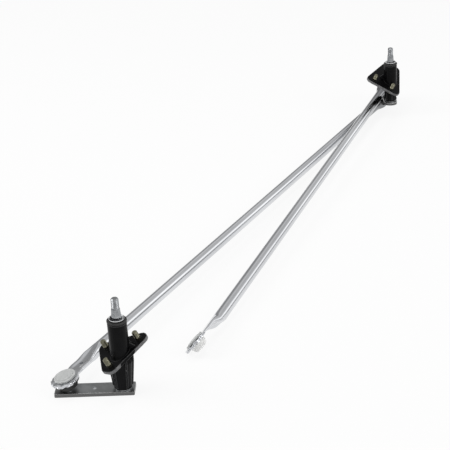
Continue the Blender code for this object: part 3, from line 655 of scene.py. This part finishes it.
# %% [markdown]
# The press closes the tube from one side only, so the other side stays in line. Its punch is narrower
# than the tube: it leaves a channel with a thick bead along each edge, and where the punch ends the
# channel's floor climbs to the top of the tube in a long V. Every ring is therefore a rounded
# outline whose middle may be pushed down to a floor.


# %% Make the rods
DRAIN_HOLE_PLACE = 30 * MM
DRAIN_HOLE_RADIUS = 1.7 * MM
CAP_RADIUS = 11.6 * MM
RIM_GROOVE = 0.6 * MM
RIM_WAVE = 0.5 * MM
RIM_WAVES = 9
RIM_GROOVE_HALF = 0.35 * MM
SOFT_EDGE = 0.5 * MM
DRAIN_HOLE_FLOOR = 0.8 * MM       # left under the drain hole
LIP_REACH = 1.5 * MM


def flare_ring(end, run, distance):
    """An end is its eye, the tube's rise above the flat towards the cap, and the flat's length."""
    eye, rise, flat_length = end
    share = (distance - flat_length) / FLARE_LENGTH
    opened = ease(share / 0.7)
    bead = ease((distance - BEAD_START) / BEAD_RUNOUT)
    flat_height = blend_of(FLAT_HALF_HEIGHT, BEAD_HALF_HEIGHT, bead)
    half_height = blend_of(flat_height, ROD_RADIUS, opened)
    half_width = blend_of(FLAT_HALF_WIDTH, ROD_RADIUS, ease(share))
    underside = blend_of(FLAT_HALF_HEIGHT, ROD_RADIUS - abs(rise), opened)
    normal = (eye.to_3x3() @ UP).normalized() * math.copysign(1, rise)
    square = (normal - run * normal.dot(run)).normalized()
    centre = eye.translation + run * distance + normal * (half_height - underside)
    floor = (blend_of(FLAT_HALF_HEIGHT, abs(rise) + ROD_RADIUS, min(max(share, 0), 1))
             + underside - half_height)
    return ring_at(centre, run.cross(square).normalized(), square, half_width, half_height,
                   5 - 3 * opened, floor)


def end_rings(end, run):
    flat_length = end[2]
    distances = [EYE_HOLE_RADIUS + MM]
    distances += [blend_of(BEAD_START, flat_length, i / BEAD_STEPS) for i in range(BEAD_STEPS)]
    distances += [flat_length + FLARE_LENGTH * i / FLARE_STEPS for i in range(FLARE_STEPS + 1)]
    return [flare_ring(end, run, distance) for distance in distances]


def rod_tube(ends):
    points = [eye.translation + (eye.to_3x3() @ UP) * rise for eye, rise, _ in ends]
    run = (points[1] - points[0]).normalized()
    start = ends[0][2] + FLARE_LENGTH
    stop = (points[1] - points[0]).length - ends[1][2] - FLARE_LENGTH
    eye, rise, _ = ends[0]
    lean = (eye.to_3x3() @ UP) * math.copysign(1, rise)
    lean = (lean - run * lean.dot(run)).normalized()
    middle = []
    for i in range(1, TUBE_STEPS):
        centre = points[0] + run * blend_of(start, stop, i / TUBE_STEPS)
        middle.append(ring_at(centre, run.cross(lean), lean, ROD_RADIUS, ROD_RADIUS, 2))
    rings = end_rings(ends[0], run)
    for ring in middle + list(reversed(end_rings(ends[1], -run))):
        rings.append(line_up(ring, rings[-1]))
    return skin_rings(rings), run, points


def line_up(ring, before):
    """Starts the ring at the point nearest to the one before, going round the same way."""
    choices = [ring[i:] + ring[:i] for i in range(len(ring))]
    back = list(reversed(ring))
    choices += [back[i:] + back[:i] for i in range(len(back))]
    return min(choices, key=lambda one: sum((one[k] - before[k]).length for k in range(0, len(one), 8)))


def add_eye(shape, eye):
    """The pierced end. Its rim is the tube's two crimped walls, wavy on the side away from the rod."""
    outline = soft_corners([(EYE_HOLE_RADIUS, EYE_HALF), (EYE_RADIUS, EYE_HALF),
                            (EYE_RADIUS, RIM_GROOVE_HALF), (EYE_RADIUS - RIM_GROOVE, 0),
                            (EYE_RADIUS, -RIM_GROOVE_HALF), (EYE_RADIUS, -EYE_HALF),
                            (EYE_HOLE_RADIUS, -EYE_HALF)], SOFT_EDGE, closed=True)
    ring = spin(outline, closed=True, steps=TURN_STEPS * 2)
    for point in ring.verts:
        radius = math.hypot(point.co.x, point.co.y)
        angle = math.atan2(point.co.y, point.co.x)
        outward = ease((radius - CAP_RADIUS) / (EYE_RADIUS - CAP_RADIUS))
        away = ease((-point.co.x / radius + 0.1) / 0.7) * outward
        point.co.z += RIM_WAVE * math.sin(angle * RIM_WAVES) * away
        stretch = 1 + (LIP_REACH + RIM_WAVE * math.cos(angle * RIM_WAVES * 2)) * away / radius
        point.co.x *= stretch
        point.co.y *= stretch
    ring.transform(eye)
    mesh = bpy.data.meshes.new("eye")
    ring.to_mesh(mesh)
    ring.free()
    shape.from_mesh(mesh)
    bpy.data.meshes.remove(mesh)


def drain_hole(eye, rise, run):
    """A thin rod that goes into the flat from its pressed side and stops short of the other one."""
    low = DRAIN_HOLE_FLOOR - FLAT_HALF_HEIGHT
    hole = spin([(0, EYE_RADIUS), (DRAIN_HOLE_RADIUS, EYE_RADIUS), (DRAIN_HOLE_RADIUS, low), (0, low)],
                steps=32)
    bmesh.ops.recalc_face_normals(hole, faces=hole.faces)
    pressed_side = (eye.to_3x3() @ UP) * math.copysign(1, rise)
    pressed_side = pressed_side - run * pressed_side.dot(run)
    hole.transform(place_at(eye.translation + run * DRAIN_HOLE_PLACE, pressed_side, run))
    mesh = bpy.data.meshes.new("drain_hole")
    hole.to_mesh(mesh)
    hole.free()
    return mesh


def pierce(shape, hole):
    """Cuts the hole out of the tube's closed skin."""
    bmesh.ops.recalc_face_normals(shape, faces=shape.faces)
    whole = bpy.data.meshes.new("whole")
    shape.to_mesh(whole)
    shape.free()
    target = bpy.data.objects.new("target", whole)
    cutter = bpy.data.objects.new("cutter", hole)
    for item in (target, cutter):
        bpy.context.scene.collection.objects.link(item)
    cut = target.modifiers.new("cut", "BOOLEAN")
    cut.operation = "DIFFERENCE"
    cut.solver = "EXACT"
    cut.object = cutter
    bpy.context.view_layer.update()
    result = bmesh.new()
    result.from_mesh(target.evaluated_get(bpy.context.evaluated_depsgraph_get()).to_mesh())
    print("the drain hole has", len(result.faces) - len(whole.polygons), "more faces than the bare skin")
    for spent in (target, cutter):
        data = spent.data
        bpy.data.objects.remove(spent)
        bpy.data.meshes.remove(data)
    return result


def make_rod(name, ends, drained, finish, body, solids):
    """Drained is the number of the end that has the hole."""
    shape, run, points = rod_tube(ends)
    eye, rise, _ = ends[drained]
    shape = pierce(shape, drain_hole(eye, rise, (run, -run)[drained]))
    for eye, _, _ in ends:
        add_eye(shape, eye)
    along = place_at(points[0], run.cross(UP).cross(run), run)
    shape.transform(along.inverted())
    rod = add_piece(name, shape, along, finish, body, solids)
    print(name, "has", len(rod.data.vertices), "points")
    return rod


make_rod("link_rod_tube", ((EYES["near_link"], NEAR_TUBE_RISE, FLAT_LENGTH),
                           (EYES["far_link"], -TUBE_OFFSET, FLAT_LENGTH)), 0, LINK_ZINC,
         "link_rod", ("link_rod", "link_rod_near_end", "link_rod_far_end"))
make_rod("motor_rod_tube", ((EYES["far_motor"], -TUBE_OFFSET, SHORT_FLAT),
                            (EYES["free_motor"], -TUBE_OFFSET, FLAT_LENGTH)), 1, MOTOR_ZINC,
         "motor_rod", ("motor_rod", "motor_rod_far_end", "motor_rod_free_end"))

# %% [markdown]
# ## Caps, sockets and boots
# These are mouldings, so no edge on them is sharp. Each is turned from the outline of its solid, with
# the corners softened. The socket is drawn in towards its mouth like a bulb, and the boot gets two
# shallow folds that the solid leaves out.

# %% Make the caps
CAP_TOP = 4.7 * MM
CAP_FOOT = 1.8 * MM
CAP_RIM = 3.7 * MM
DOME_RADIUS = 8.6 * MM
SOCKET_NECK = 7.7 * MM
ROOF = 3.7 * MM
DOME_STEPS = 8
DOME_DROP = 0.6 * MM
CAP_GROOVE_DEPTH = 0.3 * MM
CAP_GROOVE = (0.5 * MM, 1.1 * MM, 1.6 * MM)   # outside the dome: its foot, its far side, the rim


def make_cap(name, eye, body):
    dome = [(0, CAP_TOP)]
    for i in range(1, DOME_STEPS + 1):
        share = i / DOME_STEPS
        dome.append((DOME_RADIUS * share, CAP_TOP - DOME_DROP * share ** 3))
    foot, side, rim = (DOME_RADIUS + part for part in CAP_GROOVE)
    outline = dome + soft_corners([dome[-1], (foot, CAP_RIM - CAP_GROOVE_DEPTH),
                                   (side, CAP_RIM - CAP_GROOVE_DEPTH), (rim, CAP_RIM),
                                   (CAP_RADIUS, CAP_RIM), (CAP_RADIUS, CAP_FOOT),
                                   (SOCKET_NECK + GAP, CAP_FOOT), (SOCKET_NECK + GAP, ROOF),
                                   (0, ROOF)], SOFT_EDGE)[1:]
    return add_piece(name, spin(outline), eye, CAP_PLASTIC, body, [name.replace("_skin", "")])


for joint, body in (("near_link", "link_rod"), ("far_link", "link_rod"),
                    ("far_motor", "motor_rod"), ("free_motor", "motor_rod")):
    make_cap(joint + "_cap_skin", EYES[joint], body)
print("four caps")


# %% Make the sockets
MOUTH_SHARE = 0.78                # of the cavity's radius, at the socket's mouth
BULB_STEPS = 12
CAVITY_STEPS = 16


def make_socket(name, eye, body):
    cavity = BALL_RADIUS + GAP
    roof = ROOF - GAP
    shelf = -EYE_HALF - GAP
    mouth = -BALL_BELOW_EYE - SOCKET_BELOW_BALL
    lip = cavity * MOUTH_SHARE
    outside = soft_corners([(0, roof), (SOCKET_NECK, roof), (SOCKET_NECK, shelf), (SOCKET_RADIUS, shelf)],
                           SOFT_EDGE)
    for i in range(1, BULB_STEPS + 1):
        angle = math.pi / 2 * i / BULB_STEPS
        outside.append((blend_of(lip, SOCKET_RADIUS, math.cos(angle)),
                        blend_of(shelf, mouth, math.sin(angle))))
    start = math.asin(SOCKET_BELOW_BALL / cavity)
    inside = []
    for i in range(CAVITY_STEPS + 1):
        angle = -start + (start + math.pi / 2) * i / CAVITY_STEPS
        inside.append((cavity * math.cos(angle), -BALL_BELOW_EYE + cavity * math.sin(angle)))
    inside[-1] = (0, cavity - BALL_BELOW_EYE)
    return add_piece(name, spin(outside + inside), eye, SOCKET_PLASTIC,
                     body, [name.replace("_skin", "")])


for joint, body in (("near_link", "link_rod"), ("far_link", "link_rod"),
                    ("far_motor", "motor_rod"), ("free_motor", "motor_rod")):
    make_socket(joint + "_socket_skin", EYES[joint], body)
print("four sockets")

# %% Make the boots
BOOT_RADIUS = 13.2 * MM
BOOT_FOOT = 8.8 * MM
BOOT_THROAT = 5 * MM
BOOT_DEPTH = BALL_BELOW_EYE + 6 * MM
BOOT_SHOULDER = 0.8 * MM          # from the boot's top down to its widest ring
BOOT_INSET = 1.2 * MM
BOOT_FLOOR = 0.7 * MM
FOLD_DEPTH = 0.35 * MM
FOLD_COUNT = 2
FOLD_STEPS = 12


def make_boot(name, eye, body):
    top = -EYE_HALF - GAP
    inner = SOCKET_RADIUS + GAP
    outer = [(BOOT_RADIUS - BOOT_INSET, top)]
    for i in range(FOLD_STEPS + 1):
        share = i / FOLD_STEPS
        wave = FOLD_DEPTH * math.sin(share * math.pi * 2 * FOLD_COUNT)
        radius = BOOT_RADIUS + (BOOT_FOOT - BOOT_RADIUS) * ease(share) + wave
        outer.append((radius, top - BOOT_SHOULDER - (BOOT_DEPTH + top - BOOT_INSET) * share))
    outer += [(BOOT_FOOT - SOFT_EDGE, -BOOT_DEPTH), (BOOT_THROAT, -BOOT_DEPTH),
              (BOOT_THROAT, -BOOT_DEPTH + BOOT_FLOOR), (inner, -BOOT_DEPTH + BOOT_FLOOR), (inner, top)]
    return add_piece(name, spin(outer, closed=True), eye, BLACK_RUBBER, body,
                     [name.replace("_skin", "")])


for joint, body in (("near_link", "link_rod"), ("far_link", "link_rod"), ("far_motor", "motor_rod")):
    make_boot(joint + "_boot_skin", EYES[joint], body)
print("three boots")

# %% [markdown]
# ## Threads and knurls
# A rolled thread is a helix, and a knurl is a ring of small ridges. Both are ways for a radius to
# depend on the angle as well as on the height, so one skin with a radius rule makes the whole
# spindle: chamfered tip, thread, knurled cone, plain shank and the foot that is riveted in the crank.

# %% Define the shaft skin
THREAD_PITCH = 1.25 * MM
THREAD_DEPTH = 0.5 * MM
KNURL_RIDGES = 36
KNURL_DEPTH = 0.28 * MM
SHAFT_POINTS = KNURL_RIDGES * 4


def thread_depth_at(angle, height, pitch):
    """0 on the crest and 1 in the root of a right-hand thread."""
    phase = (height / pitch - angle / (2 * math.pi)) % 1
    return 0.5 - 0.5 * math.cos(2 * math.pi * phase)


def shaft_skin(heights, radius_at, points):
    """Skin from the top height to the bottom one; radius_at gives the radius at an angle and height."""
    rings = []
    for height in heights:
        ring = []
        for i in range(points):
            angle = 2 * math.pi * i / points
            radius = radius_at(angle, height)
            ring.append(Vector((radius * math.cos(angle), radius * math.sin(angle), height)))
        rings.append(ring)
    return skin_rings(rings)


def steps_between(high, low, step):
    count = max(1, round((high - low) / step))
    return [high + (low - high) * i / count for i in range(count + 1)]


print("shaft skin ready")

# %% Make the spindles
SPINDLE_RADIUS = 5 * MM
SPINDLE_FOOT = 4.2 * MM
THREAD_RADIUS = 4 * MM
THREAD_LENGTH = 11 * MM
KNURL_TOP = 4.35 * MM
KNURL_LENGTH = 7.5 * MM
NECK = 0.6 * MM
NECK_DEPTH = 0.1 * MM
CHAMFER = 1 * MM
HAIR = 0.01 * MM                  # on either side of a step between two radii


def make_spindle(side):
    low, high = (corner[2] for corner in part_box(side + "_spindle"))
    thread_foot = high - THREAD_LENGTH
    knurl_foot = thread_foot - NECK - KNURL_LENGTH
    shoulder = low + crank_thickness + GAP

    def radius_at(angle, height):
        if height > thread_foot:
            crest = min(THREAD_RADIUS, THREAD_RADIUS - CHAMFER + (high - height))
            runout = ease((height - thread_foot) / THREAD_PITCH)
            cut = THREAD_DEPTH * thread_depth_at(angle, height, THREAD_PITCH) * runout
            return min(crest, THREAD_RADIUS - cut)
        if height > thread_foot - NECK:
            return THREAD_RADIUS - NECK_DEPTH
        if height > knurl_foot:
            share = (thread_foot - NECK - height) / KNURL_LENGTH
            ridge = 0.5 - 0.5 * math.cos(angle * KNURL_RIDGES)
            fade = ease(share * 12) * ease((1 - share) * 12)
            return KNURL_TOP + (SPINDLE_RADIUS - KNURL_TOP) * share - KNURL_DEPTH * ridge * fade
        return SPINDLE_RADIUS if height > shoulder else SPINDLE_FOOT

    heights = (steps_between(high, thread_foot, THREAD_PITCH / 10)
               + steps_between(thread_foot - HAIR * 5, thread_foot - NECK + HAIR * 5, NECK)
               + steps_between(thread_foot - NECK, knurl_foot, KNURL_LENGTH / 20)
               + steps_between(knurl_foot - GAP, shoulder + HAIR, 20 * MM)
               + [shoulder - HAIR, low])
    skin = shaft_skin(heights, radius_at, SHAFT_POINTS)
    foot = pivot[side]
    skin.transform(Matrix.Translation((0, 0, -low)))
    return add_piece(side + "_spindle_skin", skin, Matrix.Translation((foot.x, foot.y, low)), SPINDLE_STEEL,
                     side + "_crank_and_spindle", [side + "_spindle"])


for side in ("near", "far"):
    make_spindle(side)
print("two spindles")

# %% [markdown]
# ## Fixing studs
# Three studs are pressed through each flange and stand square to it. Their plating has the olive
# yellow of passivated zinc. A stud's place and lean come from its solid: the head's middle and the
# tip's middle are the ends of its axis.

# %% Make the fixing studs
STUD_RADIUS = 3 * MM
STUD_PITCH = 1 * MM
STUD_DEPTH = 0.4 * MM
STUD_CHAMFER = 0.6 * MM
STUD_THREAD_LENGTH = 7.4 * MM
STUD_HEAD_RADIUS = 4.8 * MM
STUD_HEAD_HEIGHT = 2.4 * MM


def make_fixing_stud(side, number, normal):
    node = f"{side}_fixing_stud_{number}"
    mesh = frame["nodes"][node].data
    points = [Vector(vertex.co) for vertex in mesh.vertices]
    heights = [point.dot(normal) for point in points]
    low, high = min(heights), max(heights)
    rim = [point for point, height in zip(points, heights) if height < low + HAIR]
    foot = sum(rim, Vector()) / len(rim)
    length = high - low

    def radius_at(angle, height):
        if height < STUD_HEAD_HEIGHT:
            return STUD_HEAD_RADIUS
        if height < length - STUD_THREAD_LENGTH:
            return STUD_RADIUS
        cut = STUD_DEPTH * thread_depth_at(angle, height, STUD_PITCH)
        crest = STUD_RADIUS - STUD_CHAMFER + (length - height)
        return min(crest, STUD_RADIUS - cut * ease((height - length + STUD_THREAD_LENGTH) / STUD_PITCH))

    heights = (steps_between(length, length - STUD_THREAD_LENGTH, STUD_PITCH / 8)
               + [STUD_HEAD_HEIGHT + HAIR, STUD_HEAD_HEIGHT - HAIR, 0])
    skin = shaft_skin(heights, radius_at, 48)
    return add_piece(node + "_skin", skin, place_at(foot, normal), YELLOW_ZINC,
                     side + "_pivot_housing", [node])


flange_mount = {mount["name"]: mount for mount in frame["record"]["mounts"]}


def flange_normal(side):
    return Vector(flange_mount[side + "_flange_face"]["axis"]).normalized()


def flange_point(side):
    return Vector(flange_mount[side + "_flange_face"]["pos_m"])


for side in ("near", "far"):
    for number in (1, 2, 3):
        make_fixing_stud(side, number, flange_normal(side))
print("six fixing studs")

# %% [markdown]
# ## Castings
# A die casting has no sharp edge anywhere: corners are rounded and inner corners filled. Bevels
# on a shape with this many crossings break easily. Remeshing a copy of the solid into small even
# quads and smoothing them a few times rounds every edge alike, as paint over a casting does.

# %% Make the castings
CAST_GRID = 0.5 * MM
CAST_ROUNDS = 4
FLANGE_THICKNESS = 4 * MM
FLANGE_INNER = 16 * MM


def paint_sheen_on_flange_side(cast, side):
    """Gives the faces on the flange's narrow side the grey of the painted reflection, and tells how many there
    are.
    """
    normal = flange_normal(side)
    top = flange_point(side).dot(normal)
    count = 0
    for face in cast.polygons:
        below = top - face.center.dot(normal)
        outside = (at_height(face.center, 0) - pivot[side]).length > FLANGE_INNER
        if outside and 0 < below < FLANGE_THICKNESS and abs(face.normal.dot(normal)) < 0.5:
            face.material_index = 1
            count += 1
    return count


def make_casting(side):
    node = frame["nodes"][side + "_housing"]
    shape = bmesh.new()
    shape.from_mesh(node.data)
    bmesh.ops.remove_doubles(shape, verts=shape.verts, dist=WELD_DISTANCE)
    mesh = bpy.data.meshes.new(side + "_casting")
    shape.to_mesh(mesh)
    shape.free()
    casting = bpy.data.objects.new(side + "_casting", mesh)
    bpy.context.scene.collection.objects.link(casting)
    grid = casting.modifiers.new("grid", "REMESH")
    grid.mode = "VOXEL"
    grid.voxel_size = CAST_GRID
    grid.use_smooth_shade = True
    rounds = casting.modifiers.new("rounds", "SMOOTH")
    rounds.factor = 0.5
    rounds.iterations = CAST_ROUNDS
    bpy.context.view_layer.update()
    graph = bpy.context.evaluated_depsgraph_get()
    cast = bpy.data.meshes.new_from_object(casting.evaluated_get(graph))
    casting.modifiers.clear()
    casting.data = cast
    cast.materials.clear()
    cast.materials.append(BLACK_PAINT)
    # the second slot is the painted reflection on the flange's narrow side
    cast.materials.append(PAINTED_SHEEN_PAINT)
    painted_sheen = paint_sheen_on_flange_side(cast, side)
    cast.shade_smooth()
    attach(casting, side + "_pivot_housing")
    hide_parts(side + "_housing")
    print(side, "casting has", len(cast.polygons), "quads,", painted_sheen, "of them rubbed")


for side in ("near", "far"):
    make_casting(side)

# %% [markdown]
# ## Cranks, washers and the rest
# The strips, the washers, the clips, the seals and the bushes have the right shape already. They
# keep their solids, get a small bevel so that their edges catch the light, and their finish. The
# cranks' finish holds painted highlight and painted shade, and the clips' black is painted shade.
# The wall of the crank's gauge hole gets bare steel, because it was reamed.

# %% Finish the solids that stay
GAUGE_HOLE_PLACE = 29.5 * MM
GAUGE_HOLE_REACH = 2.5 * MM
KEPT = {
    "crank": (CRANK_STEEL, 0.8 * MM), "ball_stud": (MACHINED_STEEL, 0), "thrust_washer": (MACHINED_STEEL, 0),
    "washer": (BRIGHT_ZINC, 0.15 * MM), "circlip": (SHADE_BLACK_CLIP, 0.1 * MM),
    "seal_ring": (BLACK_RUBBER, 0.2 * MM),
    "upper_bush": (SINTERED_BRONZE, 0), "lower_bush": (SINTERED_BRONZE, 0),
}


def soften_edges(node, width):
    """Joins the solid's loose corners, then bevels them."""
    weld = node.modifiers.new("weld", "WELD")
    weld.merge_threshold = WELD_DISTANCE
    bevel = node.modifiers.new("edges", "BEVEL")
    bevel.width = width
    bevel.segments = 2
    bevel.limit_method = "ANGLE"
    bevel.angle_limit = SHARP


def brighten_gauge_hole(node, spindle, stud):
    node.data.materials.append(MACHINED_STEEL)
    axis = at_height(spindle + (stud - spindle).normalized() * GAUGE_HOLE_PLACE, 0)
    for face in node.data.polygons:
        wall = all((at_height(node.data.vertices[i].co, 0) - axis).length < GAUGE_HOLE_REACH
                   for i in face.vertices)
        if wall:
            face.material_index = 1


for side in ("near", "far"):
    for piece, (finish, width) in KEPT.items():
        node = frame["nodes"][f"{side}_{piece}"]
        node.data.materials.clear()
        node.data.materials.append(finish)
        if width:
            soften_edges(node, width)
brighten_gauge_hole(frame["nodes"]["near_crank"], near_spindle, near_stud)
brighten_gauge_hole(frame["nodes"]["far_crank"], far_spindle, far_stud)
print("finished", 2 * len(KEPT), "solids")
